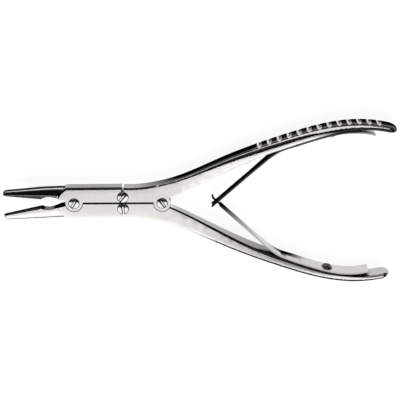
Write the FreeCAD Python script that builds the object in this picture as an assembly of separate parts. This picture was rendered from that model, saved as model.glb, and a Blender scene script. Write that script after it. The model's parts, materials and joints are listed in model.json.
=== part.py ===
import FreeCAD, Part
import math
import os

# Double-action bone rongeur, lying on its back with its four screw heads up.
# Lengths are in millimetres and angles in degrees.
# X runs from the jaw tips to the handle ends, Y across the instrument, Z up through the screws.
# The pieces are drawn about the rear pivot, at half thickness, and moved to the floor at the end.
# The upper jaw and handle are those on the +Y side. The lower ones are their mirror images,
# apart from the half laps, the grooves and the springs' free ends.

# Joint block: two jaws and two handles meet in one flat, rectangular block.
joint_thickness = 6.4
joint_half_height = 7.5
seam_gap = 0.6
notch_gap = 0.8
edge_round = 1.2
shank_round = 1.35
seam_edge_round = 0.15

# Pivots: one between the handles, one between the jaws, and a link screw for each pair.
pivot_spacing = 40.3
link_from_rear = 17.95
link_half_spacing = 2.77

# Play in the screws lets both handles turn clockwise about the rear pivot, seen from the screw
# heads, and both jaws anticlockwise about the front pivot.
handle_skew = 0.5
jaw_skew = 0.4

# Half-lapped lugs: the upper piece has the front layer, the lower piece has the back layer.
lap_gap = 0.1
pivot_lug_radius = 3.9
link_lug_radius = 2.5
lug_clearance = 0.1

# Screws with slotted cheese heads, sunk in counterbores.
pivot_head_radius = 2.5
pivot_shank_radius = 1.6
link_head_radius = 2.6
link_shank_radius = 1.1
head_height = 1.35
head_sink = 1.1
head_edge_round = 0.35
head_clearance = 0.1
head_seat_gap = 0.02
shank_clearance = 0.05
thread_clearance = 0.01
slot_width = 0.8
slot_depth = 0.7
front_slot_angle = 60.0
rear_slot_angle = -55.0
upper_link_slot_angle = 50.0
lower_link_slot_angle = -84.0

# Jaws: drawn closed, then opened about the front pivot.
jaw_reach = 32.6
jaw_open_angle = 8.5
jaw_shoulder_radius = 8.2
jaw_corner_round = 2.0
jaw_root_depth = 7.4
jaw_root_width = 5.4
jaw_middle_reach = 15.8
jaw_middle_depth = 5.2
jaw_middle_width = 4.8
jaw_nose_depth = 2.5
jaw_nose_width = 3.4
jaw_back_reach_share = 0.85
jaw_back_side_share = 0.47
jaw_rim_round = 0.1
jaw_start_reach = 2.34
jaw_section_count = 9
jaw_bend_reach = 15.0
jaw_bend_rise = 0.9
bite_gap = 0.12
cup_rim = 0.45
cup_start = 15.2
cup_rear_stretch = 1.4
relief_height = 0.2
relief_depth = 1.5
relief_bow_share = 0.85
relief_start = 10.8
relief_end = 15.2

# Handles: an outer edge through named points, and a depth, a width and a rounding along it.
front_edge_rise = 7.48
flare_rise = 8.22
shank_x = 8.0
shank_rise = 12.05
bow_start_x = 26.5
bow_start_rise = 20.4
bow_middle_x = 54.0
bow_middle_rise = 31.2
bow_crown_x = 84.0
bow_crown_rise = 38.75
handle_length = 106.2
handle_end_rise = 36.5
crotch_extra = 1.6
shank_depth = 6.2
grip_depth = 4.6
grip_width = 9.4
grip_start_x = 52.0
grip_round_reach = 3.0
grip_round_side = 2.4
grip_inner_round = 1.0
handle_end_width = 8.8
handle_end_depth = 3.0
handle_end_round = 1.9
handle_section_spacing = 9.0

# Cross grooves on the outer face of the upper handle.
groove_count = 13
groove_pitch = 4.46
groove_first_x = 43.9
groove_depth = 0.55
groove_radius = 1.3

# Leaf springs: a wide root screwed inside each handle, and a narrower blade.
spring_thickness = 0.7
spring_seat_gap = 0.04
spring_bend_gap = 0.04
spring_root_width = 8.4
spring_bend_width = 6.6
spring_blade_width = 4.8
spring_bend_x = 50.5
spring_root_end_x = 96.5
spring_root_lift = 1.7
spring_root_spans = 8
spring_crossing_x = 24.9
fork_reach = 2.9
fork_slot_width = 2.2
fork_slot_back = 3.2
tongue_width = 1.6
tongue_shoulder_back = 2.1
tongue_reach = 3.4
tongue_curl_radius = 2.6
tongue_curl_angle = 28.0
tongue_head_width = 3.4
tongue_head_length = 0.7

# Round-head screws that hold the springs.
spring_screw_x = 75.8
spring_screw_head_radius = 2.6
spring_screw_head_height = 1.5
spring_screw_shank_radius = 1.1
spring_screw_depth = 2.6
spring_screw_seat_gap = 0.17
spring_screw_slot_width = 0.7
spring_screw_slot_depth = 0.7

# Limits of the drawing: how far a cutting form passes a face, and what counts as touching.
overcut = 1.0
touching = 0.01
halvings = 40
corner_steps = 4

# Places worked out from the sizes above.
half_thickness = joint_thickness / 2
seam_y = seam_gap / 2
front_pivot = (-pivot_spacing, 0.0)
rear_pivot = (0.0, 0.0)
upper_link = (-link_from_rear, link_half_spacing)
lower_link = (-link_from_rear, -link_half_spacing)
handle_front_x = -link_from_rear + notch_gap / 2
jaw_back_x = -link_from_rear - notch_gap / 2
open_angle = math.radians(jaw_open_angle)
jaw_nose_x = jaw_reach - jaw_nose_width / 2
far = 4 * joint_half_height


def vector(x, y, z=0.0):
    return FreeCAD.Vector(x, y, z)


def turned(point, centre, degrees):
    """A point of the plan, turned about a pivot."""
    angle = math.radians(degrees)
    x = point[0] - centre[0]
    y = point[1] - centre[1]
    return (centre[0] + x * math.cos(angle) - y * math.sin(angle),
            centre[1] + x * math.sin(angle) + y * math.cos(angle))


def link_in_jaw(link):
    """A link screw's place on its jaw before the jaw is turned, so that it meets the handle's."""
    return turned(turned(link, rear_pivot, -handle_skew), front_pivot, -jaw_skew)


def mirrored(shape):
    """The same form on the other side of the seam."""
    return shape.mirror(vector(0, 0), vector(0, 1))


def blend(x, x_start, start, x_end, end):
    """A value that changes smoothly from start to end between two places."""
    share = min(1.0, max(0.0, (x - x_start) / (x_end - x_start)))
    return start + (end - start) * (1 - math.cos(math.pi * share)) / 2


def disc(centre, radius, z_low, z_high):
    return Part.makeCylinder(radius, z_high - z_low, vector(centre[0], centre[1], z_low))


def section_edges(place, inward, depth, width, round_reach, round_side, inner_round, side):
    """One side of a rounded rectangle, from the middle of its outer edge to the inner one.
    Its outer corner is a quarter of an ellipse, and its inner corner a quarter of a circle."""
    across = vector(0, 0, side)
    half = width / 2
    shift = 1 - math.sqrt(0.5)

    def point(reach, aside):
        return place + inward * reach + across * aside

    corner = []
    for step in range(corner_steps + 1):
        angle = math.pi / 2 * step / corner_steps
        corner.append(point(round_reach * (1 - math.cos(angle)),
                            half - round_side * (1 - math.sin(angle))))
    outer_corner = Part.BSplineCurve()
    outer_corner.interpolate(Points=corner, InitialTangent=across * round_side,
                             FinalTangent=inward * round_reach)
    side_start = corner[-1]
    side_end = point(depth - inner_round, half)
    inner_bow = point(depth - inner_round * shift, half - inner_round * shift)
    inner_flat = point(depth, half - inner_round)
    return [
        Part.LineSegment(point(0, 0), corner[0]).toShape(),
        outer_corner.toShape(),
        Part.LineSegment(side_start, side_end).toShape(),
        Part.Arc(side_end, inner_bow, inner_flat).toShape(),
        Part.LineSegment(inner_flat, point(depth, 0)).toShape(),
    ]


def rounded_section(*sizes):
    """A closed rounded rectangle that starts at its outer middle and reaches inward."""
    front = section_edges(*sizes, 1)
    back = section_edges(*sizes, -1)
    return Part.Wire(front + back[::-1])


def round_end(onward, place, inward, depth, *sizes):
    """Half a turn of the section about its own middle, which rounds off the end of a form."""
    edges = section_edges(place, inward, depth, *sizes, 1)
    axis = Part.LineSegment(place + inward * depth, place).toShape()
    half = Part.Face(Part.Wire(edges + [axis]))
    end = half.revolve(place, inward, 180)
    if end.CenterOfMass.sub(place).dot(onward) < 0:
        end = half.revolve(place, inward, -180)
    return end


# Handle form

handle_edge = Part.BSplineCurve()
handle_edge.interpolate([
    vector(-link_from_rear, front_edge_rise),
    vector(-link_from_rear / 3, flare_rise),
    vector(shank_x, shank_rise),
    vector(bow_start_x, bow_start_rise),
    vector(bow_middle_x, bow_middle_rise),
    vector(bow_crown_x, bow_crown_rise),
    vector(handle_length, handle_end_rise),
])


def handle_parameter(x):
    """Parameter of the handle's outer edge at one X, by halving."""
    low = handle_edge.FirstParameter
    high = handle_edge.LastParameter
    for step in range(halvings):
        middle = (low + high) / 2
        if handle_edge.value(middle).x < x:
            low = middle
        else:
            high = middle
    return (low + high) / 2


def handle_frame(x):
    """Outer point, inward direction and depth of the handle at one X of its outer edge."""
    parameter = handle_parameter(x)
    along = handle_edge.tangent(parameter)[0]
    depth = joint_half_height + blend(x, handle_front_x, crotch_extra, shank_x, 0)
    depth = depth + blend(x, 0, 0, shank_x * 2, shank_depth - joint_half_height)
    depth = depth + blend(x, shank_x, 0, grip_start_x, grip_depth - shank_depth)
    depth = depth + blend(x, bow_middle_x, 0, handle_length, handle_end_depth - grip_depth)
    return handle_edge.value(parameter), vector(along.y, -along.x), depth


def handle_inner(x, offset=0.0):
    """A point on the inner face of the handle, or off it by a distance towards the seam."""
    outer, inward, depth = handle_frame(x)
    return outer + inward * (depth + offset)


def handle_section_sizes(x):
    outer, inward, depth = handle_frame(x)
    width = blend(x, rear_pivot[0], joint_thickness, grip_start_x, grip_width)
    width = width + blend(x, bow_crown_x, 0, handle_length, handle_end_width - grip_width)
    round_reach = blend(x, rear_pivot[0], shank_round, grip_start_x, grip_round_reach)
    round_reach = round_reach + blend(x, bow_crown_x, 0, handle_length,
                                      handle_end_round - grip_round_reach)
    round_side = blend(x, rear_pivot[0], shank_round, grip_start_x, grip_round_side)
    inner_round = blend(x, rear_pivot[0], seam_edge_round, grip_start_x, grip_inner_round)
    return outer, inward, depth, width, round_reach, round_side, inner_round


def handle_body():
    """One bowed arm, from the notch beside the link to the rounded end of the grip."""
    end_x = handle_length - handle_end_width / 2
    count = round((end_x - handle_front_x) / handle_section_spacing)
    stations = [handle_front_x + (end_x - handle_front_x) * step / count for step in range(count + 1)]
    arm = Part.makeLoft([rounded_section(*handle_section_sizes(x)) for x in stations], True, False)
    arm = arm.fuse(round_end(vector(1, 0), *handle_section_sizes(end_x)))
    below_seam = Part.makeBox(pivot_lug_radius - handle_front_x + overcut, far, 2 * grip_width,
                              vector(handle_front_x - overcut, seam_y - far, -grip_width))
    ahead = Part.makeBox(far, far, 2 * grip_width, vector(handle_front_x - far, 0, -grip_width))
    return arm.cut(below_seam).cut(ahead)


def layer(is_front):
    """Lowest and highest Z of the front or the back layer of a half lap."""
    if is_front:
        return lap_gap / 2, half_thickness
    return -half_thickness, -lap_gap / 2


def lapped(piece, centre, lug_radius, is_front):
    """Gives the piece a lug in its own layer and a round recess for the other lug."""
    z_low, z_high = layer(is_front)
    recess_radius = lug_radius + lug_clearance
    if is_front:
        recess = disc(centre, recess_radius, -half_thickness - overcut, lap_gap / 2)
    else:
        recess = disc(centre, recess_radius, -lap_gap / 2, half_thickness + overcut)
    return piece.cut(recess).fuse(disc(centre, lug_radius, z_low, z_high))


def bored(piece, centre, head_radius, shank_radius, turns_on_screw):
    """Screw hole and counterbore. The piece either turns on the shank or is threaded on it."""
    clearance = shank_clearance if turns_on_screw else thread_clearance
    hole = disc(centre, shank_radius + clearance, -half_thickness - overcut,
                half_thickness + overcut)
    seat = disc(centre, head_radius + head_clearance,
                half_thickness - head_sink - head_seat_gap, half_thickness + overcut)
    return piece.cut(hole).cut(seat)


def handle(is_upper):
    body = handle_body()
    link = upper_link if is_upper else lower_link
    if not is_upper:
        body = mirrored(body)
    body = lapped(body, rear_pivot, pivot_lug_radius, is_upper)
    body = lapped(body, link, link_lug_radius, False)
    body = bored(body, rear_pivot, pivot_head_radius, pivot_shank_radius, is_upper)
    body = bored(body, link, link_head_radius, link_shank_radius, False)
    return body


def grooved(body):
    """Cuts the cross grooves that run over the outer face of the upper grip."""
    for step in range(groove_count):
        outer, inward, depth = handle_frame(groove_first_x + step * groove_pitch)
        centre = outer - inward * (groove_radius - groove_depth)
        groove = disc((centre.x, centre.y), groove_radius, -grip_width, grip_width)
        body = body.cut(groove)
    return body


# Jaw form

def opened(x_ahead, y, z=0.0):
    """A point of the closed jaw, given ahead of the front pivot, in its open place."""
    cosine = math.cos(open_angle)
    sine = math.sin(open_angle)
    return vector(-pivot_spacing - x_ahead * cosine + y * sine, x_ahead * sine + y * cosine, z)


def jaw_rise(x_ahead):
    """The jaws curve up towards the side of the screw heads, then run straight."""
    start = pivot_lug_radius
    span = jaw_bend_reach - start
    if x_ahead < jaw_bend_reach:
        return jaw_bend_rise * (max(0.0, x_ahead - start) / span) ** 2
    return jaw_bend_rise * (1 + 2 * (x_ahead - jaw_bend_reach) / span)


def jaw_section_sizes(x_ahead):
    """Sizes of the beak's section. It narrows steadily to the middle, then to the nose."""
    rear_share = min(1.0, x_ahead / jaw_middle_reach)
    nose_share = max(0.0, (x_ahead - jaw_middle_reach) / (jaw_nose_x - jaw_middle_reach))
    depth = jaw_root_depth + (jaw_middle_depth - jaw_root_depth) * rear_share
    depth = depth + (jaw_nose_depth - jaw_middle_depth) * nose_share
    width = jaw_root_width + (jaw_middle_width - jaw_root_width) * rear_share
    width = width + (jaw_nose_width - jaw_middle_width) * nose_share
    outer = opened(x_ahead, bite_gap / 2 + depth, jaw_rise(x_ahead))
    inward = opened(0, -1) - opened(0, 0)
    round_reach = jaw_back_reach_share * depth
    return outer, inward, depth, width, round_reach, jaw_back_side_share * width, jaw_rim_round


def jaw_beak():
    """The long working part of a jaw, with a round back and a flat rim."""
    spacing = (jaw_nose_x - jaw_start_reach) / jaw_section_count
    stations = [jaw_start_reach + spacing * step for step in range(jaw_section_count + 1)]
    beak = Part.makeLoft([rounded_section(*jaw_section_sizes(x)) for x in stations], True, False)
    return beak.fuse(round_end(vector(-1, 0), *jaw_section_sizes(jaw_nose_x)))


def jaw_block():
    """The flat rear part of a jaw, which ends ahead of the pivot in a round shoulder."""
    radius = jaw_shoulder_radius
    edge_y = joint_half_height
    pivot = vector(*front_pivot)
    corner_y = edge_y - jaw_corner_round
    reach = math.sqrt((radius - jaw_corner_round) ** 2 - corner_y ** 2)
    corner = vector(-pivot_spacing - reach, corner_y)
    from_pivot = (corner - pivot).normalize()
    corner_end = pivot + from_pivot * radius
    corner_middle = corner + (vector(0, 1) + from_pivot).normalize() * jaw_corner_round
    relief_reach = math.sqrt(radius ** 2 - relief_height ** 2)
    low_end = opened(relief_reach, relief_height)
    low_angle = math.atan2(low_end.y, low_end.x + pivot_spacing)
    high_angle = math.atan2(corner_end.y, corner_end.x + pivot_spacing)
    half_angle = (low_angle + high_angle) / 2
    shoulder_middle = vector(-pivot_spacing + radius * math.cos(half_angle),
                             radius * math.sin(half_angle))
    points = [
        vector(jaw_back_x, edge_y),
        vector(jaw_back_x, seam_y),
        vector(-pivot_spacing, seam_y),
        opened(0, relief_height),
        low_end,
    ]
    edges = [Part.LineSegment(start, end).toShape() for start, end in zip(points, points[1:])]
    edges.append(Part.Arc(low_end, shoulder_middle, corner_end).toShape())
    edges.append(Part.Arc(corner_end, corner_middle, vector(corner.x, edge_y)).toShape())
    edges.append(Part.LineSegment(vector(corner.x, edge_y), points[0]).toShape())
    outline = Part.Face(Part.Wire(edges))
    outline.translate(vector(0, 0, -half_thickness))
    block = outline.extrude(vector(0, 0, joint_thickness))
    outer_edges = [edge for edge in block.Edges if is_outer_block_edge(edge, corner)]
    return block.makeFillet(edge_round, outer_edges)


def is_outer_block_edge(edge, corner):
    """True for the front and back edges along the jaw's outer side and its round shoulder."""
    middle = edge.valueAt((edge.FirstParameter + edge.LastParameter) / 2)
    on_face = abs(abs(middle.z) - half_thickness) < touching
    on_side = abs(middle.y - joint_half_height) < touching
    past_corner = middle.x < corner.x
    on_low_side = isinstance(edge.Curve, Part.Line) and not on_side
    return on_face and (on_side or past_corner) and not on_low_side


def jaw_relief():
    """The gap behind the bite, shut at the pivot and deepest just behind the cup."""
    low = -joint_half_height
    points = [
        opened(relief_end, bite_gap / 2 - overcut),
        opened(relief_end, low),
        opened(0, low),
        opened(0, relief_height),
        opened(relief_start, relief_depth),
    ]
    edges = [Part.LineSegment(start, end).toShape() for start, end in zip(points, points[1:])]
    bow = opened((relief_start + relief_end) / 2, relief_depth * relief_bow_share)
    rim = opened(relief_end, bite_gap / 2)
    edges.append(Part.Arc(points[-1], bow, rim).toShape())
    edges.append(Part.LineSegment(rim, points[0]).toShape())
    outline = Part.Face(Part.Wire(edges))
    outline.translate(vector(0, 0, -joint_thickness))
    return outline.extrude(vector(0, 0, 2 * joint_thickness))


def jaw_cup():
    """The scoop in the rim of a jaw: a tapered round hollow with an oval rear end."""
    rear_radius = jaw_middle_width / 2 - cup_rim
    nose_radius = jaw_nose_width / 2 - cup_rim
    rear_x = cup_start + cup_rear_stretch * rear_radius
    quarter = math.sqrt(0.5)
    start = vector(cup_start, 0)
    rear = vector(rear_x, rear_radius)
    rear_middle = vector(rear_x - (rear_x - cup_start) * quarter, rear_radius * quarter)
    nose = vector(jaw_nose_x, nose_radius)
    nose_middle = vector(jaw_nose_x + nose_radius * quarter, nose_radius * quarter)
    tip = vector(jaw_nose_x + nose_radius, 0)
    edges = [
        Part.Arc(start, rear_middle, rear).toShape(),
        Part.LineSegment(rear, nose).toShape(),
        Part.Arc(nose, nose_middle, tip).toShape(),
        Part.LineSegment(tip, start).toShape(),
    ]
    half = Part.Face(Part.Wire(edges))
    hollow = half.revolve(vector(0, 0), vector(1, 0), 360)
    rise = jaw_rise(jaw_reach) - jaw_rise(cup_start)
    slope = math.degrees(math.atan2(rise, jaw_reach - cup_start))
    hollow.rotate(vector(cup_start, 0), vector(0, 1), -slope)
    hollow.translate(vector(0, bite_gap / 2, jaw_rise(cup_start)))
    hollow = hollow.mirror(vector(0, 0), vector(1, 0))
    hollow.rotate(vector(0, 0), vector(0, 0, 1), -jaw_open_angle)
    hollow.translate(vector(-pivot_spacing, 0))
    return hollow


def jaw(is_upper):
    body = jaw_block().fuse(jaw_beak())
    body = body.cut(jaw_relief()).cut(jaw_cup())
    link = upper_link if is_upper else lower_link
    if not is_upper:
        body = mirrored(body)
    link = link_in_jaw(link)
    body = lapped(body, front_pivot, pivot_lug_radius, is_upper)
    body = lapped(body, link, link_lug_radius, True)
    body = bored(body, front_pivot, pivot_head_radius, pivot_shank_radius, is_upper)
    body = bored(body, link, link_head_radius, link_shank_radius, True)
    return body


# Screws

def joint_screw(centre, head_radius, shank_radius, slot_angle):
    """Slotted cheese-head screw, from its domed head down to the back of the joint."""
    seat_z = half_thickness - head_sink
    head = disc(centre, head_radius, seat_z, seat_z + head_height)
    top_z = seat_z + head_height
    top_edges = [edge for edge in head.Edges if abs(edge.BoundBox.ZMin - top_z) < touching]
    head = head.makeFillet(head_edge_round, top_edges)
    slot = Part.makeBox(3 * head_radius, slot_width, head_height,
                        vector(-1.5 * head_radius, -slot_width / 2))
    slot.rotate(vector(0, 0), vector(0, 0, 1), slot_angle)
    slot.translate(vector(centre[0], centre[1], top_z - slot_depth))
    shank = disc(centre, shank_radius, -half_thickness, seat_z)
    return head.cut(slot).fuse(shank)


def spring_screw_frame():
    """Seat on the spring root and the direction that its screw points in, into the handle."""
    outer, inward, depth = handle_frame(spring_screw_x)
    seat = handle_inner(spring_screw_x, spring_seat_gap + spring_thickness + spring_screw_seat_gap)
    return seat, inward * -1


def spring_screw():
    """Round-head slotted screw through the spring root into the handle."""
    seat, into = spring_screw_frame()
    radius = spring_screw_head_radius
    height = spring_screw_head_height
    ball_radius = (radius ** 2 + height ** 2) / (2 * height)
    centre = seat + into * (ball_radius - height)
    ball = Part.makeSphere(ball_radius, centre)
    column = Part.makeCylinder(radius, height, seat, into * -1)
    head = ball.common(column)
    shank = Part.makeCylinder(spring_screw_shank_radius, spring_screw_depth, seat, into)
    slot = Part.makeBox(3 * radius, spring_screw_slot_width, spring_screw_slot_depth,
                        vector(-1.5 * radius, -spring_screw_slot_width / 2))
    slot.Placement = FreeCAD.Placement(seat - into * height,
                                       FreeCAD.Rotation(vector(0, 0, 1), into))
    return head.fuse(shank).cut(slot)


def spring_hole():
    """The hole for the spring screw, through the spring root and into the handle."""
    seat, into = spring_screw_frame()
    radius = spring_screw_shank_radius + thread_clearance
    start = seat - into * overcut
    return Part.makeCylinder(radius, spring_screw_depth + overcut + thread_clearance, start, into)


# Leaf springs

spring_middle = spring_seat_gap + spring_thickness / 2
spring_bend = handle_inner(spring_bend_x, spring_middle)
blade_vector = vector(spring_crossing_x, 0) - spring_bend
blade_length = blade_vector.Length
blade_direction = vector(blade_vector.x, blade_vector.y).normalize()
blade_normal = vector(-blade_direction.y, blade_direction.x)


def strip(centre_line, width):
    """A flat strip: a smooth line in plan, given its thickness and then its width in Z."""
    outer_side = []
    inner_side = []
    for point, normal in centre_line:
        outer_side.append(point + normal * (spring_thickness / 2))
        inner_side.append(point - normal * (spring_thickness / 2))
    outer_curve = Part.BSplineCurve()
    outer_curve.interpolate(outer_side)
    inner_curve = Part.BSplineCurve()
    inner_curve.interpolate(inner_side)
    edges = [
        outer_curve.toShape(),
        Part.LineSegment(outer_side[-1], inner_side[-1]).toShape(),
        inner_curve.toShape(),
        Part.LineSegment(inner_side[0], outer_side[0]).toShape(),
    ]
    face = Part.Face(Part.Wire(Part.sortEdges(edges)[0]))
    face.translate(vector(0, 0, -width / 2))
    return face.extrude(vector(0, 0, width))


def taper(x_start, width_start, x_end, width_end):
    """A plate seen along Y that trims a strip to a width that changes along X."""
    points = [
        vector(x_start, 0, -width_start / 2),
        vector(x_end, 0, -width_end / 2),
        vector(x_end, 0, width_end / 2),
        vector(x_start, 0, width_start / 2),
    ]
    outline = Part.Face(Part.makePolygon(points + [points[0]]))
    outline.translate(vector(0, -2 * handle_length))
    return outline.extrude(vector(0, 4 * handle_length))


def spring_root():
    """The part of a spring that lies on the handle and is screwed to it."""
    line = []
    spacing = (spring_root_end_x - spring_bend_x) / spring_root_spans
    for step in range(spring_root_spans + 1):
        x = spring_bend_x + spacing * step
        outer, inward, depth = handle_frame(x)
        past_screw = max(0.0, (x - spring_screw_x) / (spring_root_end_x - spring_screw_x))
        lift = spring_root_lift * past_screw ** 2
        line.append((handle_inner(x, spring_middle + lift), inward * -1))
    root = strip(line, spring_root_width)
    full_width_x = spring_bend.x + spring_root_width
    start_x = spring_bend.x - spring_thickness
    front = taper(start_x, spring_bend_width, full_width_x, spring_root_width)
    rear = taper(full_width_x, spring_root_width, handle_length, spring_root_width)
    root = root.common(front.fuse(rear))
    knuckle = disc((spring_bend.x, spring_bend.y), spring_thickness / 2 + spring_bend_gap,
                   -joint_thickness, joint_thickness)
    return root.cut(knuckle).cut(spring_hole())


def plain_blade(reach):
    """A straight strip from the bend to a reach along the blade, with a round rear end."""
    side = blade_normal * (spring_thickness / 2)
    tip = spring_bend + blade_direction * reach
    edges = [
        Part.LineSegment(spring_bend + side, tip + side).toShape(),
        Part.LineSegment(tip + side, tip - side).toShape(),
        Part.LineSegment(tip - side, spring_bend - side).toShape(),
        Part.Arc(spring_bend - side, spring_bend - blade_direction * (spring_thickness / 2),
                 spring_bend + side).toShape(),
    ]
    face = Part.Face(Part.Wire(edges))
    face.translate(vector(0, 0, -spring_bend_width / 2))
    blade = face.extrude(vector(0, 0, spring_bend_width))
    narrow_x = spring_bend.x - 2 * spring_bend_width
    rear = taper(spring_bend.x + overcut, spring_bend_width, narrow_x, spring_blade_width)
    return blade.common(rear.fuse(taper(narrow_x, spring_blade_width, 0, spring_blade_width)))


def forked_blade():
    """The upper spring's blade, with a slot that takes the other spring's tongue."""
    blade = plain_blade(blade_length + fork_reach)
    slot_length = fork_slot_back + fork_reach + overcut
    slot = Part.makeBox(slot_length, 4 * spring_thickness, fork_slot_width,
                        vector(0, -2 * spring_thickness, -fork_slot_width / 2))
    angle = math.degrees(math.atan2(blade_direction.y, blade_direction.x))
    slot.rotate(vector(0, 0), vector(0, 0, 1), angle)
    slot.translate(spring_bend + blade_direction * (blade_length - fork_slot_back))
    return blade.cut(slot)


def tongued_blade():
    """The lower spring's blade, drawn on the upper side: a tongue that curls and ends in a T."""
    shoulder = blade_length - tongue_shoulder_back
    blade = plain_blade(shoulder)
    half = spring_thickness / 2
    start = spring_bend + blade_direction * (shoulder - overcut)
    curl = math.radians(tongue_curl_angle)
    straight = blade_length + tongue_reach - tongue_head_length - tongue_curl_radius * curl
    bend = spring_bend + blade_direction * straight
    turn = blade_normal

    def curled(angle, offset):
        """A point on the tongue's curl, off its middle line by an offset."""
        centre = bend + turn * tongue_curl_radius
        radius = tongue_curl_radius - offset
        return centre + blade_direction * (radius * math.sin(angle)) - turn * (radius * math.cos(angle))

    end_direction = blade_direction * math.cos(curl) + turn * math.sin(curl)
    reach = end_direction * tongue_head_length
    inner = [start + turn * half, bend + turn * half, curled(curl / 2, half), curled(curl, half)]
    outer = [start - turn * half, bend - turn * half, curled(curl / 2, -half), curled(curl, -half)]
    tongue_edges = [
        Part.LineSegment(inner[0], inner[1]).toShape(),
        Part.Arc(inner[1], inner[2], inner[3]).toShape(),
        Part.LineSegment(inner[3], outer[3]).toShape(),
        Part.Arc(outer[3], outer[2], outer[1]).toShape(),
        Part.LineSegment(outer[1], outer[0]).toShape(),
        Part.LineSegment(outer[0], inner[0]).toShape(),
    ]
    tongue = Part.Face(Part.Wire(tongue_edges))
    tongue.translate(vector(0, 0, -tongue_width / 2))
    tongue = tongue.extrude(vector(0, 0, tongue_width))
    head_points = [inner[3], inner[3] + reach, outer[3] + reach, outer[3], inner[3]]
    head = Part.Face(Part.makePolygon(head_points))
    head.translate(vector(0, 0, -tongue_head_width / 2))
    head = head.extrude(vector(0, 0, tongue_head_width))
    return blade.fuse(tongue).fuse(head)


# Assembly

upper_spring_hole = spring_hole()
turned_with_jaws = ("upper_jaw", "lower_jaw", "front_pivot_screw")
pieces = {
    "upper_jaw": jaw(True),
    "lower_jaw": jaw(False),
    "upper_handle": grooved(handle(True)).cut(upper_spring_hole),
    "lower_handle": handle(False).cut(mirrored(upper_spring_hole)),
    "front_pivot_screw": joint_screw(front_pivot, pivot_head_radius, pivot_shank_radius,
                                     front_slot_angle),
    "rear_pivot_screw": joint_screw(rear_pivot, pivot_head_radius, pivot_shank_radius,
                                    rear_slot_angle),
    "upper_link_screw": joint_screw(upper_link, link_head_radius, link_shank_radius,
                                    upper_link_slot_angle),
    "lower_link_screw": joint_screw(lower_link, link_head_radius, link_shank_radius,
                                    lower_link_slot_angle),
    "upper_spring_root": spring_root(),
    "lower_spring_root": mirrored(spring_root()),
    "upper_spring_blade": forked_blade(),
    "lower_spring_blade": mirrored(tongued_blade()),
    "upper_spring_screw": spring_screw(),
    "lower_spring_screw": mirrored(spring_screw()),
}

for name, piece in pieces.items():
    if name in turned_with_jaws:
        piece.rotate(vector(*front_pivot), vector(0, 0, 1), jaw_skew)
    else:
        piece.rotate(vector(*rear_pivot), vector(0, 0, 1), -handle_skew)

# The frame's origin is on the floor, under the middle of the instrument.
boxes = [piece.optimalBoundingBox() for piece in pieces.values()]
lowest = min(box.ZMin for box in boxes)
middle_x = (min(box.XMin for box in boxes) + max(box.XMax for box in boxes)) / 2
os.makedirs("parts", exist_ok=True)
for name, piece in pieces.items():
    placed = piece.removeSplitter()
    placed.translate(vector(-middle_x, 0, -lowest))
    placed.exportStep("parts/" + name + ".step")
    print(name, placed.isValid(), len(placed.Solids), round(placed.Volume, 2))
print("rear pivot", round(-middle_x, 4), 0.0, round(-lowest, 4))
for label, point in (("upper link", upper_link), ("lower link", lower_link),
                     ("upper bend", (spring_bend.x, spring_bend.y)),
                     ("lower bend", (spring_bend.x, -spring_bend.y))):
    x, y = turned(point, rear_pivot, -handle_skew)
    print(label, round(x - middle_x, 4), round(y, 4))
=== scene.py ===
import bpy
import json
import math
from mathutils import Matrix, Vector

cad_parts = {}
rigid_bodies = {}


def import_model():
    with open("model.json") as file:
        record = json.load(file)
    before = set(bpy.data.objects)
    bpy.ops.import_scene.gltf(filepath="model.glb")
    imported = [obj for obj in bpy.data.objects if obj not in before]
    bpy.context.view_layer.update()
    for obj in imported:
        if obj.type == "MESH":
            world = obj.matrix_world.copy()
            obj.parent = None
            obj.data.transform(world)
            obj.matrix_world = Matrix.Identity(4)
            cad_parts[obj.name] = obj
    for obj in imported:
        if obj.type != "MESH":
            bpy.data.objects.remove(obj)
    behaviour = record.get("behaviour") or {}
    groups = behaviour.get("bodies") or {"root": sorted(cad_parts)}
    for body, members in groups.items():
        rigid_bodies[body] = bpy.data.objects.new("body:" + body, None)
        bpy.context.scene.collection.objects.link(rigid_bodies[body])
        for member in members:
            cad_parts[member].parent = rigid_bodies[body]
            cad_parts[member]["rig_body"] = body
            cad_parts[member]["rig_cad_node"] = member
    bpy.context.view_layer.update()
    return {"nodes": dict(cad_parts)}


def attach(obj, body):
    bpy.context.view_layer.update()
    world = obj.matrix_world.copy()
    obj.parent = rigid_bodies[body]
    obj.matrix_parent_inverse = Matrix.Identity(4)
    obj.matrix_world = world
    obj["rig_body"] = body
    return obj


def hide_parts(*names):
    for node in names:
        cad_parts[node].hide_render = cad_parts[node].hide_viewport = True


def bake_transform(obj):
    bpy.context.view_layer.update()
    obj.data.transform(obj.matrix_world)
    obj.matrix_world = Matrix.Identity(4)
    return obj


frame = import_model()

# Double-action bone rongeur in stainless steel, lying on its back with its screw heads up.
# Lengths are in metres. The jaws point to -X and the grooved handle is on the +Y side.
mm = 0.001

# Camera: a long lens, tilted off the screws' axes towards the grooved handle.
camera_target = Vector((0.00055, 0.00025, 0.0047))
camera_distance = 0.640
camera_tilt = math.radians(21.2)
camera_roll = math.radians(0.25)
camera_lens = 125.5

# Joint: its pivots and notches along X, and the seam between its two sides.
middle_z = 4.7 * mm
front_pivot_x = -57.05 * mm
rear_pivot_x = -16.75 * mm
notch_x = -34.7 * mm
seam_end_x = -17 * mm
seam_wall_reach = 0.6 * mm
notch_wall_reach = 0.7 * mm

# Painted shade of the joint's gaps: half a ring round each pivot's lug, the seam, the notch's
# corner.
lug_ring_radius = 3.97 * mm
lug_ring_half_width = 0.17 * mm
lug_ring_highest_y = -0.4 * mm
seam_line_half_length = 16.1 * mm
seam_line_half_width = 0.5 * mm
notch_corner_half_width = 0.75 * mm
notch_corner_lowest_y = 5 * mm
notch_corner_lowest_z = 7.4 * mm

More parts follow.
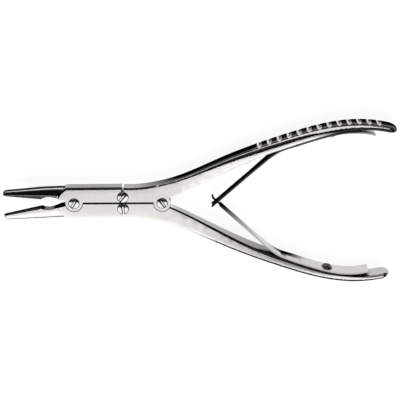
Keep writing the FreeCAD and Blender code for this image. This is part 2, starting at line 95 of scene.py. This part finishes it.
# Grinding lines are 0.05 mm apart on the real steel. They are drawn coarser, so that they show.
grinding_pitch = 0.3 * mm
grinding_length = 9 * mm
grinding_reach = 2 * mm
grinding_depth = 0.03 * mm

# Screw heads, in millimetres: fall of the dome at 1 mm from its axis, and the painted shade along
# # the slot's edges.
head_dome_fall = 0.045
slot_edge_offset = 0.55
slot_edge_half_width = 0.2

# Normals: how far along an axis a face looks, where 1 is straight along it.
flat_normal = 0.995
gap_wall_normal = 0.9
groove_wall_normal = 0.05
front_corner_normal = 0.62
inner_face_normal = 0.45
outer_side_normal = 0.1
block_edge_normal = 0.3
beak_front_normal = 0.93
relief_normal = 0.3
rim_normal = 0.06
beak_outline_normal = -0.6
spring_edge_normal = 0.9
spring_side_normal = 0.2
screw_top_normal = 0.9

# Meshes: the angle past which an edge stays sharp, and how near two corners are to be merged.
crease_angle = math.radians(28)
merge_distance = 0.001 * mm

# Grooves of the upper grip, along X. Each has a bright cut with painted shade beside it, and the
# # line between leans by this share of the height.
groove_first_x = 27.44 * mm
groove_pitch = 4.46 * mm
groove_half = 1.0 * mm
groove_count = 13
groove_lean = 0.12
groove_cut_shift = 0.35 * mm

# Handles: where parts of their finish and painted shade start and end, and how sharply two
# # painted black lines begin.
block_end_x = -20 * mm
grip_start_x = 24 * mm
inner_arm_start_x = -14 * mm
inner_arm_end_x = 77 * mm
spring_shadow_start_x = 54 * mm
spring_end_x = 79.5 * mm
grip_front_shade = 0.86
inner_end_shade = 0.22
margin_sharpness = 25
outline_sharpness = 60

# Profiles: amounts that change along X, as pairs of a place in millimetres and an amount. The
# amount runs straight from one place to the next. The groove's goes by the distance from its cut.
# Shade amounts are painted shade and dark reflection, and band amounts set a painted highlight.
upper_front_band = ((-12, -1.0), (18, -0.5))
upper_side_shade = ((-30, 0.2), (-8, 0.95))
upper_edge_satin = ((10, 0.0), (42, 1.0))
upper_band_start = ((28, 0.62), (34, 0.73), (48, 0.73), (66, 0.85))
upper_band_end = ((28, 0.8), (48, 0.875), (64, 0.975))
upper_grip_shade = ((52, 0.0), (62, 1.0))
groove_cut_shade = ((0.5, 0.0), (0.9, 1.0))
lower_flat_shade = ((0, 0.0), (12, 0.2), (28, 0.45), (30, 0.45), (36, 0.7), (54, 0.7), (64, 0.2))
lower_round_shade = ((0, 0.0), (12, 0.2), (28, 0.45), (34, 0.45), (60, 0.1))
lower_outline_tilt = ((-15, 0.35), (8, 0.89))
inner_margin_height = ((-8, 1.2), (10, 1.9), (28, 3.4))
inner_face_shade = ((-14, 0.0), (-8, 0.28), (8, 0.28), (34, 0.48))
inner_edge_shade = ((-14, 0.0), (-12, 1.0), (77, 1.0), (80, 0.45))
spring_shadow_shade = ((54, 0.0), (62, 1.0))
relief_shade = ((-71.5, 1.0), (-70, 0.6), (-67, 0.6), (-65.5, 1.0))
spring_front_edge_shade = ((71, 0.9), (76, 0.2))
spring_handle_side_shade = ((44, 1.0), (50, 0.0))
spring_bend_shade = ((33, 0.0), (38, 1.0), (42, 1.0), (50, 0.0))

# Jaws: the flat block with its side painted grey, and the painted highlight line along the upper
# # jaw's beak.
block_radius = 8.3 * mm
block_corner_x = -59.6 * mm
block_corner_y = 6 * mm
block_side_shade = 0.28
relief_end_x = -60.55 * mm
beak_front_shade = 0.8
beak_line_satin = 0.8
beak_line_start = 0.62
beak_line_width = 0.2

# Leaf springs: each bends over twice this length, with its hinge in the frame at the middle.
spring_bend_half = 5.5 * mm
spring_bend_cuts = 9
upper_spring_bend = Vector((0.0356409, 0.0248063, 0.0047045))
lower_spring_bend = Vector((0.0352, -0.0257169, 0.0047045))
spring_root_slope = math.radians(18.3)
spring_blade_slope = math.radians(39.7)
spring_hook_x = 11 * mm
spring_flat_angle = math.radians(0.05)
# Painted shade and dark reflection on the lower spring's front edge and on the spring screws.
lower_spring_edge_shade = 0.45
spring_screw_shade = 0.92

# Studio: the backdrop's size and glow, and the grey of the room.
backdrop_size = 6
backdrop_z = -0.00002
backdrop_glow = 0.88
room_grey = (0.035, 0.035, 0.035, 1)
stage_middle = Vector((0, 0, 0))


def srgb(colour):
    """Linear red, green, blue and alpha of a hex colour."""
    channels = [int(colour[start:start + 2], 16) / 255 for start in (1, 3, 5)]
    linear = [c / 12.92 if c <= 0.04045 else ((c + 0.055) / 1.055) ** 2.4 for c in channels]
    return (*linear, 1)


def add_node(tree, kind, settings=None, inputs=None):
    """Adds a node. An input takes a value, or the socket that feeds it."""
    node = tree.nodes.new(kind)
    for name, value in (settings or {}).items():
        setattr(node, name, value)
    for name, value in (inputs or {}).items():
        if isinstance(value, bpy.types.NodeSocket):
            tree.links.new(value, node.inputs[name])
        else:
            node.inputs[name].default_value = value
    return node


def along(profile, x):
    """The amount of a profile at one place."""
    place = x / mm
    start, amount = profile[0]
    for end, end_amount in profile[1:]:
        if place < end:
            share = max(0.0, (place - start) / (end - start))
            return amount + (end_amount - amount) * share
        start, amount = end, end_amount
    return amount


# Camera

def set_up_camera():
    back = Vector((0, math.sin(camera_tilt), math.cos(camera_tilt)))
    up = Vector((0, math.cos(camera_tilt), -math.sin(camera_tilt)))
    right = Vector((1, 0, 0))
    turned_right = right * math.cos(camera_roll) - up * math.sin(camera_roll)
    turned_up = up * math.cos(camera_roll) + right * math.sin(camera_roll)
    turn = Matrix((turned_right, turned_up, back)).transposed().to_4x4()
    bpy.ops.object.camera_add(location=(0, 0, 0))
    camera = bpy.context.object
    camera.matrix_world = Matrix.Translation(camera_target + back * camera_distance) @ turn
    camera.data.sensor_width = 36
    camera.data.lens = camera_lens
    camera.data.clip_start = 0.01
    camera.data.clip_end = 20
    bpy.context.scene.camera = camera


# Materials

def painted_joint_gap_shade(tree, place):
    """1 where the shade of the joint's gaps is painted as dark lines, and 0 elsewhere: half a ring
    round each pivot's lug, the seam, and the front corner of the notch beside the upper link."""
    parts = add_node(tree, "ShaderNodeSeparateXYZ", None, {"Vector": place})
    x = parts.outputs["X"]
    y = parts.outputs["Y"]
    z = parts.outputs["Z"]
    flat_place = add_node(tree, "ShaderNodeMapping", None, {"Vector": place, "Scale": (1, 1, 0)})
    on_lower_side = add_node(tree, "ShaderNodeMath", {"operation": "LESS_THAN"},
                             {0: y, 1: lug_ring_highest_y})
    lines = []
    for pivot_x in (front_pivot_x, rear_pivot_x):
        distance = add_node(tree, "ShaderNodeVectorMath", {"operation": "DISTANCE"},
                            {0: flat_place.outputs["Vector"], 1: (pivot_x, 0, 0)})
        ring = add_node(tree, "ShaderNodeMath", {"operation": "COMPARE"},
                        {0: distance.outputs["Value"], 1: lug_ring_radius,
                         2: lug_ring_half_width})
        half_ring = add_node(tree, "ShaderNodeMath", {"operation": "MULTIPLY"},
                             {0: ring.outputs["Value"], 1: on_lower_side.outputs["Value"]})
        lines.append(half_ring.outputs["Value"])
    between_pivots = add_node(tree, "ShaderNodeMath", {"operation": "COMPARE"},
                              {0: x, 1: (front_pivot_x + rear_pivot_x) / 2,
                               2: seam_line_half_length})
    near_seam = add_node(tree, "ShaderNodeMath", {"operation": "COMPARE"},
                         {0: y, 1: 0, 2: seam_line_half_width})
    seam = add_node(tree, "ShaderNodeMath", {"operation": "MULTIPLY"},
                    {0: between_pivots.outputs["Value"], 1: near_seam.outputs["Value"]})
    lines.append(seam.outputs["Value"])
    beside_notch = add_node(tree, "ShaderNodeMath", {"operation": "COMPARE"},
                            {0: x, 1: notch_x, 2: notch_corner_half_width})
    above_link = add_node(tree, "ShaderNodeMath", {"operation": "GREATER_THAN"},
                          {0: y, 1: notch_corner_lowest_y})
    in_front = add_node(tree, "ShaderNodeMath", {"operation": "GREATER_THAN"},
                        {0: z, 1: notch_corner_lowest_z})
    notch_side = add_node(tree, "ShaderNodeMath", {"operation": "MULTIPLY"},
                          {0: beside_notch.outputs["Value"], 1: above_link.outputs["Value"]})
    notch_corner = add_node(tree, "ShaderNodeMath", {"operation": "MULTIPLY"},
                            {0: notch_side.outputs["Value"], 1: in_front.outputs["Value"]})
    lines.append(notch_corner.outputs["Value"])
    together = lines[0]
    for line in lines[1:]:
        larger = add_node(tree, "ShaderNodeMath", {"operation": "MAXIMUM"}, {0: together, 1: line})
        together = larger.outputs["Value"]
    return together


def stainless_with_painted_shade_and_highlights():
    """Martensitic stainless steel. Where "satin" is 1 it is belt-ground and brushed across the
    piece, and where it is 0 it is mirror-polished. Where "shade" is 1, shade and dark reflections
    are painted into it, near black. "band" is -1 on brushed steel, and the brushing fades as it
    rises to 0. From 0 to 1 it is a polished line with no painted shade, partly a real reflection
    of the back strip and partly a painted highlight, and past 1 the steel is painted dark."""
    material = bpy.data.materials.new("satin_polished_stainless_painted_shade")
    material.use_nodes = True
    tree = material.node_tree
    shader = tree.nodes["Principled BSDF"]
    place = add_node(tree, "ShaderNodeTexCoord").outputs["Object"]
    satin = add_node(tree, "ShaderNodeAttribute", {"attribute_name": "satin"}).outputs["Fac"]
    shade = add_node(tree, "ShaderNodeAttribute", {"attribute_name": "shade"}).outputs["Fac"]
    band = add_node(tree, "ShaderNodeAttribute", {"attribute_name": "band"}).outputs["Fac"]
    off_band = add_node(tree, "ShaderNodeMath", {"operation": "LESS_THAN"}, {0: band, 1: 0})
    past_band = add_node(tree, "ShaderNodeMath", {"operation": "GREATER_THAN"}, {0: band, 1: 1})
    own_shade = add_node(tree, "ShaderNodeMath", {"operation": "MULTIPLY"},
                         {0: shade, 1: off_band.outputs["Value"]})
    dark = add_node(tree, "ShaderNodeMath", {"operation": "MAXIMUM"},
                    {0: own_shade.outputs["Value"], 1: past_band.outputs["Value"]})
    light = add_node(tree, "ShaderNodeMath", {"operation": "SUBTRACT"},
                     {0: 1, 1: dark.outputs["Value"]})
    ground = add_node(tree, "ShaderNodeMath", {"operation": "MULTIPLY"},
                      {0: satin, 1: light.outputs["Value"]})
    clear_of_band = add_node(tree, "ShaderNodeMath", {"operation": "MULTIPLY", "use_clamp": True},
                             {0: band, 1: -1})
    brushed = add_node(tree, "ShaderNodeMath", {"operation": "MULTIPLY"},
                       {0: ground.outputs["Value"], 1: clear_of_band.outputs["Value"]})
    across = add_node(tree, "ShaderNodeMapping", None,
                      {"Vector": place,
                       "Scale": (1 / grinding_pitch, 1 / grinding_length, 1 / grinding_reach)})
    lines = add_node(tree, "ShaderNodeTexNoise", None,
                     {"Vector": across.outputs["Vector"], "Scale": 1.0, "Detail": 3.0,
                      "Roughness": 0.6})
    steel = add_node(tree, "ShaderNodeMix", {"data_type": "RGBA"},
                     {"Factor": ground.outputs["Value"], "A": srgb("#c4c3c1"),
                      "B": srgb("#e9e7e4")})
    # Painted shade and dark reflections: the colour goes near black where "shade" or a band past 1
    # says.
    shaded = add_node(tree, "ShaderNodeMix", {"data_type": "RGBA"},
                      {"Factor": dark.outputs["Value"], "A": steel.outputs["Result"],
                       "B": srgb("#343332")})
    # The joint's gaps get painted shade lines in dark grey.
    gap_shaded = add_node(tree, "ShaderNodeMix", {"data_type": "RGBA"},
                     {"Factor": painted_joint_gap_shade(tree, place), "A": shaded.outputs["Result"],
                      "B": srgb("#4a4948")})
    tree.links.new(gap_shaded.outputs["Result"], shader.inputs["Base Color"])
    # The painted dark reflection also darkens the tint of grazing reflections.
    tint = add_node(tree, "ShaderNodeMix", {"data_type": "RGBA"},
                    {"Factor": dark.outputs["Value"], "A": (1, 1, 1, 1), "B": srgb("#3a3938")})
    tree.links.new(tint.outputs["Result"], shader.inputs["Specular Tint"])
    grain = add_node(tree, "ShaderNodeMapRange", None,
                     {"Value": lines.outputs["Fac"], "From Min": 0.3, "From Max": 0.7,
                      "To Min": 0.36, "To Max": 0.5})
    roughness = add_node(tree, "ShaderNodeMix", {"data_type": "FLOAT"},
                         {"Factor": brushed.outputs["Value"], "A": 0.1,
                          "B": grain.outputs["Result"]})
    tree.links.new(roughness.outputs["Result"], shader.inputs["Roughness"])
    height = add_node(tree, "ShaderNodeMath", {"operation": "MULTIPLY"},
                      {0: lines.outputs["Fac"], 1: brushed.outputs["Value"]})
    bump = add_node(tree, "ShaderNodeBump", None,
                    {"Strength": 0.25, "Distance": grinding_depth,
                     "Height": height.outputs["Value"]})
    tree.links.new(bump.outputs["Normal"], shader.inputs["Normal"])
    shader.inputs["Metallic"].default_value = 1.0
    return material


def turned_steel():
    """Screw heads turned on a lathe and polished: slightly domed, with painted shade along both
    edges of the slot and where "shade" says. The map "turned" gives the offset from the screw's
    axis, along and across the slot, in mm."""
    material = bpy.data.materials.new("turned_polished_stainless")
    material.use_nodes = True
    tree = material.node_tree
    shader = tree.nodes["Principled BSDF"]
    place = add_node(tree, "ShaderNodeUVMap", {"uv_map": "turned"}).outputs["UV"]
    radius = add_node(tree, "ShaderNodeVectorMath", {"operation": "LENGTH"}, {0: place})
    square = add_node(tree, "ShaderNodeMath", {"operation": "MULTIPLY"},
                      {0: radius.outputs["Value"], 1: radius.outputs["Value"]})
    height = add_node(tree, "ShaderNodeMath", {"operation": "MULTIPLY"},
                      {0: square.outputs["Value"], 1: -head_dome_fall})
    bump = add_node(tree, "ShaderNodeBump", None,
                    {"Strength": 1.0, "Distance": 1 * mm, "Height": height.outputs["Value"]})
    tree.links.new(bump.outputs["Normal"], shader.inputs["Normal"])
    parts = add_node(tree, "ShaderNodeSeparateXYZ", None, {"Vector": place})
    off_slot = add_node(tree, "ShaderNodeMath", {"operation": "ABSOLUTE"},
                        {0: parts.outputs["Y"]})
    # Painted shade along both edges of the slot.
    slot_edge = add_node(tree, "ShaderNodeMath", {"operation": "COMPARE"},
                         {0: off_slot.outputs["Value"], 1: slot_edge_offset,
                          2: slot_edge_half_width})
    shade = add_node(tree, "ShaderNodeAttribute", {"attribute_name": "shade"}).outputs["Fac"]
    dark = add_node(tree, "ShaderNodeMath", {"operation": "MAXIMUM"},
                    {0: slot_edge.outputs["Value"], 1: shade})
    colour = add_node(tree, "ShaderNodeMix", {"data_type": "RGBA"},
                      {"Factor": dark.outputs["Value"], "A": srgb("#d2d1cf"),
                       "B": srgb("#2a2928")})
    tree.links.new(colour.outputs["Result"], shader.inputs["Base Color"])
    shader.inputs["Metallic"].default_value = 1.0
    shader.inputs["Roughness"].default_value = 0.14
    return material


def leaf_spring_steel():
    """Rolled spring steel, polished on the side that shows, with painted shade and dark
    reflections where "shade" says.
    """
    material = bpy.data.materials.new("rolled_spring_steel_painted_shade")
    material.use_nodes = True
    tree = material.node_tree
    shader = tree.nodes["Principled BSDF"]
    shade = add_node(tree, "ShaderNodeAttribute", {"attribute_name": "shade"}).outputs["Fac"]
    # Painted shade and dark reflections: near black where "shade" says, with a darker grazing
    # tint.
    colour = add_node(tree, "ShaderNodeMix", {"data_type": "RGBA"},
                      {"Factor": shade, "A": srgb("#d2d0cd"), "B": srgb("#1a1918")})
    tree.links.new(colour.outputs["Result"], shader.inputs["Base Color"])
    tint = add_node(tree, "ShaderNodeMix", {"data_type": "RGBA"},
                    {"Factor": shade, "A": (1, 1, 1, 1), "B": srgb("#3a3938")})
    tree.links.new(tint.outputs["Result"], shader.inputs["Specular Tint"])
    shader.inputs["Metallic"].default_value = 1.0
    shader.inputs["Roughness"].default_value = 0.24
    return material


# Finishes and painted shade of the handles

def groove_offset(x):
    """Distance along X from the middle of the nearest groove."""
    count = round((x - groove_first_x) / groove_pitch)
    count = min(groove_count - 1, max(0, count))
    return x - groove_first_x - count * groove_pitch


def in_joint_gap(normal, middle):
    """True for the walls of the seam between the sides and of the notches beside the links, which
    get painted shade.
    """
    by_seam = abs(middle.y) < seam_wall_reach and middle.x < seam_end_x
    by_notch = abs(middle.x - notch_x) < notch_wall_reach
    in_seam = by_seam and abs(normal.y) > gap_wall_normal
    in_notch = by_notch and abs(normal.x) > gap_wall_normal
    return in_seam or in_notch


def upper_handle_finish_and_shade(normal, middle, corner, tilt):
    """Satin, shade and band of a corner. Its face has this normal and middle, and tilt is the
    height of the rounded surface's own normal there. The shade is painted shade and dark
    reflection, and the band a painted highlight line with painted black past it."""
    if in_joint_gap(normal, middle):
        return 0, 1
    grip_shade = along(upper_grip_shade, corner.x)
    if abs(normal.z) > flat_normal and middle.z > middle_z:
        return 1, grip_shade, along(upper_front_band, corner.x)
    if abs(normal.z) > flat_normal:
        return 1, 0
    if normal.y < 0:
        return 1, grip_shade
    in_groove = abs(groove_offset(middle.x)) < groove_half and middle.x > grip_start_x
    # Painted shade beside each groove's bright cut.
    if in_groove and abs(normal.z) < groove_wall_normal:
        if corner.z >= middle_z:
            return 1, 0
        lean = (corner.z - middle_z) * groove_lean
        off_cut = abs(groove_offset(corner.x) - lean + groove_cut_shift)
        return 1, along(groove_cut_shade, off_cut)
    side_shade = along(upper_side_shade, corner.x)
    if corner.x < block_end_x:
        return 0, side_shade if normal.z < front_corner_normal else 1
    if corner.x > grip_start_x:
        side_shade = grip_front_shade if corner.z > middle_z else 1
    # A painted highlight band follows the rounded front edge, between the side's painted dark
    # # reflection and a painted black margin.
    band_start = along(upper_band_start, corner.x)
    band_end = along(upper_band_end, corner.x)
    band = (tilt - band_start) / (band_end - band_start)
    return along(upper_edge_satin, corner.x), side_shade, band


def lower_handle_finish_and_shade(normal, middle, corner, tilt):
    """The same for the lower handle, which shows its inner face above its front. That face is
    painted grey, with painted shadow under the spring's end and a painted black front margin.
    """
    if in_joint_gap(normal, middle):
        return 0, 1
    if abs(normal.z) > flat_normal:
        return 1, along(lower_flat_shade, corner.x) if middle.z > middle_z else 0
    if normal.y > 0 and abs(normal.z) < inner_face_normal:
        # The front margin of the inner face is painted black, as a dark reflection, up to the
        # edge.
        margin = along(inner_margin_height, corner.x) * mm
        on_arm = inner_arm_start_x < middle.x < inner_arm_end_x
        height = (corner.z - middle_z) / margin if on_arm else 0
        shade = along(inner_face_shade, corner.x)
        # Painted shadow under the spring's lifted end, and a lighter painted grey beyond its end.
        if corner.x > spring_end_x:
            shade = inner_end_shade
        if spring_shadow_start_x < corner.x < spring_end_x:
            shade = along(spring_shadow_shade, corner.x)
        return 1, shade, 1 + margin_sharpness * (height - 1)
    # The inner round edge is painted black.
    if normal.y > 0:
        return 0, along(inner_edge_shade, corner.x)
    # The lower outline is painted black where the rounded front turns away.
    outline = along(lower_outline_tilt, corner.x)
    band = 1 + outline_sharpness * (outline - tilt)
    return 1, along(lower_round_shade, corner.x), band


# Finishes and painted shade of the jaws

def in_block(middle):
    behind_pivot = middle.x > front_pivot_x
    return behind_pivot or math.hypot(middle.x - front_pivot_x, middle.y) < block_radius


def block_finish_and_shade(normal, middle):
    """The flat rear part of a jaw: a round edge painted black over a side painted grey."""
    if in_joint_gap(normal, middle):
        return 0, 1
    if abs(normal.z) > flat_normal or normal.y < outer_side_normal:
        return 1, 0
    if normal.z > block_edge_normal:
        return 0, 1
    at_corner = middle.x < block_corner_x and abs(middle.y) > block_corner_y
    return 1 if at_corner else 0, block_side_shade


def upper_jaw_finish_and_shade(normal, middle, corner, tilt):
    """A beak painted black as a dark reflection, with a painted highlight line along its rounded
    front edge.
    """
    if in_block(middle):
        return block_finish_and_shade(normal, middle)
    if normal.z < 0 or normal.y < 0:
        return 0, 1
    if normal.z > beak_front_normal:
        return 0, beak_front_shade
    return beak_line_satin, 1, (tilt - beak_line_start) / beak_line_width


def lower_jaw_finish_and_shade(normal, middle, corner, tilt):
    """A satin beak with a rim painted black, less dark in the relief, and a lower outline painted
    black.
    """
    if in_block(middle):
        # The relief's walls are painted black.
        if normal.y > relief_normal and middle.x < relief_end_x:
            return 0, 1
        return block_finish_and_shade(normal, middle)
    if normal.y > rim_normal:
        return 0, along(relief_shade, corner.x)
    return (0, 1) if normal.y < beak_outline_normal else (1, 0)


# Finishes and painted shade of the springs and screws

def spring_finish_and_shade(sign):
    """Painted shade and dark reflections on the hook, the blade's handle side, the front edges and
    the bend.
    """
    def finish_and_shade(normal, middle, corner, tilt):
        if corner.x < spring_hook_x:
            return 0, 1
        if abs(normal.z) > spring_edge_normal and sign > 0:
            return 0, along(spring_front_edge_shade, corner.x)
        if abs(normal.z) > spring_edge_normal:
            return 0, lower_spring_edge_shade
        if normal.y * sign > spring_side_normal:
            return 0, along(spring_handle_side_shade, corner.x)
        return 0, along(spring_bend_shade, corner.x) if corner.z < middle_z else 0
    return finish_and_shade


def screw_finish_and_shade(normal, middle, corner, tilt):
    """The round edge of a joint screw's head gets painted shade, like the shadow in the gap around
    it.
    """
    return 0, 1 if normal.z < screw_top_normal else 0


# The spring screws are painted dark all over, as a dark reflection.
def spring_screw_finish_and_shade(normal, middle, corner, tilt):
    return 0, spring_screw_shade


def paint(piece, finish_and_shade):
    """Writes the satin amount, the painted shade and the painted highlight band of each face's
    corners.
    """
    vertices = piece.data.vertices
    tilts = [normal.vector.z for normal in piece.data.corner_normals]
    amounts = [[0.0, 0.0, -1.0] for loop in piece.data.loops]
    for face in piece.data.polygons:
        for index in face.loop_indices:
            corner = vertices[piece.data.loops[index].vertex_index].co
            values = finish_and_shade(face.normal, face.center, corner, tilts[index])
            amounts[index][:len(values)] = values
    for place, name in enumerate(("satin", "shade", "band")):
        layer = piece.data.attributes.new(name, "FLOAT", "CORNER")
        layer.data.foreach_set("value", [values[place] for values in amounts])


def map_about_axis(piece, slot_angle):
    """Maps each corner to its offset from the screw's axis, along and across its slot, in mm."""
    corners = [vertex.co for vertex in piece.data.vertices]
    middle_x = (min(co.x for co in corners) + max(co.x for co in corners)) / 2
    middle_y = (min(co.y for co in corners) + max(co.y for co in corners)) / 2
    cosine = math.cos(math.radians(slot_angle))
    sine = math.sin(math.radians(slot_angle))
    layer = piece.data.uv_layers.new(name="turned")
    for loop in piece.data.loops:
        co = piece.data.vertices[loop.vertex_index].co
        x = (co.x - middle_x) / mm
        y = (co.y - middle_y) / mm
        layer.data[loop.index].uv = (x * cosine + y * sine, y * cosine - x * sine)


# Forged and machined pieces

def deselect():
    bpy.ops.object.select_all(action="DESELECT")


def plain_copy(node_name):
    """A copy of a solid that is no node of the frame."""
    deselect()
    solid = frame["nodes"][node_name]
    solid.select_set(True)
    bpy.context.view_layer.objects.active = solid
    bpy.ops.object.duplicate()
    piece = bpy.context.object
    piece.parent = None
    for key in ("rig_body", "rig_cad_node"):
        del piece[key]
    if piece.data.has_custom_normals:
        bpy.ops.mesh.customdata_custom_splitnormals_clear()
    return piece


def machined(node_name, material):
    """A merged, smoothly shaded copy of a solid, which stands for it."""
    piece = plain_copy(node_name)
    piece.name = node_name + "_finished"
    piece.data.name = piece.name
    bpy.ops.object.mode_set(mode="EDIT")
    bpy.ops.mesh.select_all(action="SELECT")
    bpy.ops.mesh.remove_doubles(threshold=merge_distance)
    bpy.ops.object.mode_set(mode="OBJECT")
    bpy.ops.object.shade_smooth_by_angle(angle=crease_angle)
    piece.data.materials.clear()
    piece.data.materials.append(material)
    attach(piece, frame["nodes"][node_name]["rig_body"])
    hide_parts(node_name)
    return piece


# Leaf springs

def cut_away(node_name, place, direction):
    """A merged copy of a spring's solid, open where a plane cuts off what lies behind it."""
    piece = plain_copy(node_name)
    bpy.ops.object.mode_set(mode="EDIT")
    bpy.ops.mesh.select_all(action="SELECT")
    bpy.ops.mesh.remove_doubles(threshold=merge_distance)
    bpy.ops.mesh.dissolve_limited(angle_limit=spring_flat_angle)
    bpy.ops.mesh.select_all(action="SELECT")
    bpy.ops.mesh.bisect(plane_co=place, plane_no=direction, clear_inner=True)
    bpy.ops.object.mode_set(mode="OBJECT")
    return piece


def leaf_spring(side, bend, material):
    """One strip from root to free end: the two solids, with a smooth bend between them."""
    sign = 1 if side == "upper" else -1
    onward = Vector((math.cos(spring_root_slope), sign * math.sin(spring_root_slope), 0))
    forward = Vector((-math.cos(spring_blade_slope), -sign * math.sin(spring_blade_slope), 0))
    root_start = bend + onward * spring_bend_half
    blade_start = bend + forward * spring_bend_half
    blade = cut_away(side + "_spring_blade", blade_start, forward)
    root = cut_away(side + "_spring_root", root_start, onward)
    deselect()
    blade.select_set(True)
    root.select_set(True)
    bpy.context.view_layer.objects.active = root
    bpy.ops.object.join()
    spring = bpy.context.object
    spring.name = side + "_leaf_spring"
    spring.data.name = spring.name
    bpy.ops.object.mode_set(mode="EDIT")
    bpy.ops.mesh.select_mode(type="EDGE")
    bpy.ops.mesh.select_all(action="DESELECT")
    bpy.ops.mesh.select_non_manifold(extend=False)
    bpy.ops.mesh.bridge_edge_loops(number_cuts=spring_bend_cuts, interpolation="PATH",
                                   smoothness=1.0)
    bpy.ops.object.mode_set(mode="OBJECT")
    bpy.ops.object.shade_smooth_by_angle(angle=crease_angle)
    paint(spring, spring_finish_and_shade(sign))
    spring.data.materials.clear()
    spring.data.materials.append(material)
    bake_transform(spring)
    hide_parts(side + "_spring_root", side + "_spring_blade")


# Assembly

set_up_camera()
body_steel = stainless_with_painted_shade_and_highlights()
screw_steel = turned_steel()
spring_steel = leaf_spring_steel()

finishes_and_shades = {
    "upper_jaw": upper_jaw_finish_and_shade,
    "lower_jaw": lower_jaw_finish_and_shade,
    "upper_handle": upper_handle_finish_and_shade,
    "lower_handle": lower_handle_finish_and_shade,
}
for name, finish_and_shade in finishes_and_shades.items():
    paint(machined(name, body_steel), finish_and_shade)

# Angle of each joint screw's slot, in degrees from X.
joint_slots = {
    "front_pivot_screw": 60,
    "rear_pivot_screw": -55,
    "upper_link_screw": 50,
    "lower_link_screw": -84,
}
for name, slot_angle in joint_slots.items():
    screw = machined(name, screw_steel)
    paint(screw, screw_finish_and_shade)
    map_about_axis(screw, slot_angle)
for name in ("upper_spring_screw", "lower_spring_screw"):
    screw = machined(name, screw_steel)
    paint(screw, spring_screw_finish_and_shade)
    map_about_axis(screw, 0)
leaf_spring("upper", upper_spring_bend, spring_steel)
leaf_spring("lower", lower_spring_bend, spring_steel)


# Studio

def softbox(name, place, width, height, radiance):
    """A rectangular soft lamp that looks at the stage's middle and seems as bright as radiance."""
    bpy.ops.object.light_add(type="AREA", location=place)
    lamp = bpy.context.object
    lamp.name = name
    lamp.data.shape = "RECTANGLE"
    lamp.data.size = width
    lamp.data.size_y = height
    lamp.data.energy = radiance * math.pi * width * height
    lamp.rotation_euler = (stage_middle - Vector(place)).to_track_quat("-Z", "Y").to_euler()


def pale_floor():
    """Pale backdrop paper. It glows for rays that come straight from the camera, off a polished
    face or through a clear one, and is a dull grey to all other light."""
    deselect()
    bpy.ops.mesh.primitive_plane_add(size=backdrop_size, location=(0, 0, backdrop_z))
    floor = bpy.context.object
    floor.name = "paper_floor"
    material = bpy.data.materials.new("pale_backdrop_paper")
    material.use_nodes = True
    tree = material.node_tree
    shader = tree.nodes["Principled BSDF"]
    shader.inputs["Base Color"].default_value = srgb("#969695")
    shader.inputs["Roughness"].default_value = 0.9
    shader.inputs["Specular IOR Level"].default_value = 0.1
    rays = add_node(tree, "ShaderNodeLightPath")
    seen = add_node(tree, "ShaderNodeMath", {"operation": "MAXIMUM"},
                    {0: rays.outputs["Is Camera Ray"], 1: rays.outputs["Is Glossy Ray"]})
    seen_through = add_node(tree, "ShaderNodeMath", {"operation": "MAXIMUM"},
                            {0: seen.outputs["Value"], 1: rays.outputs["Is Transmission Ray"]})
    glow = add_node(tree, "ShaderNodeMath", {"operation": "MULTIPLY"},
                    {0: seen_through.outputs["Value"], 1: backdrop_glow})
    tree.links.new(glow.outputs["Value"], shader.inputs["Emission Strength"])
    shader.inputs["Emission Color"].default_value = (1, 1, 1, 1)
    floor.data.materials.append(material)


pale_floor()
softbox("large_softbox", (0, -0.766, 0.643), width=2.2, height=1.4, radiance=1.4)
softbox("back_strip", (0, 0.743, 0.669), width=1.5, height=0.7, radiance=0.9)
world = bpy.data.worlds.new("studio")
bpy.context.scene.world = world
world.use_nodes = True
world.node_tree.nodes["Background"].inputs["Color"].default_value = room_grey
bpy.context.scene.view_settings.view_transform = "Standard"
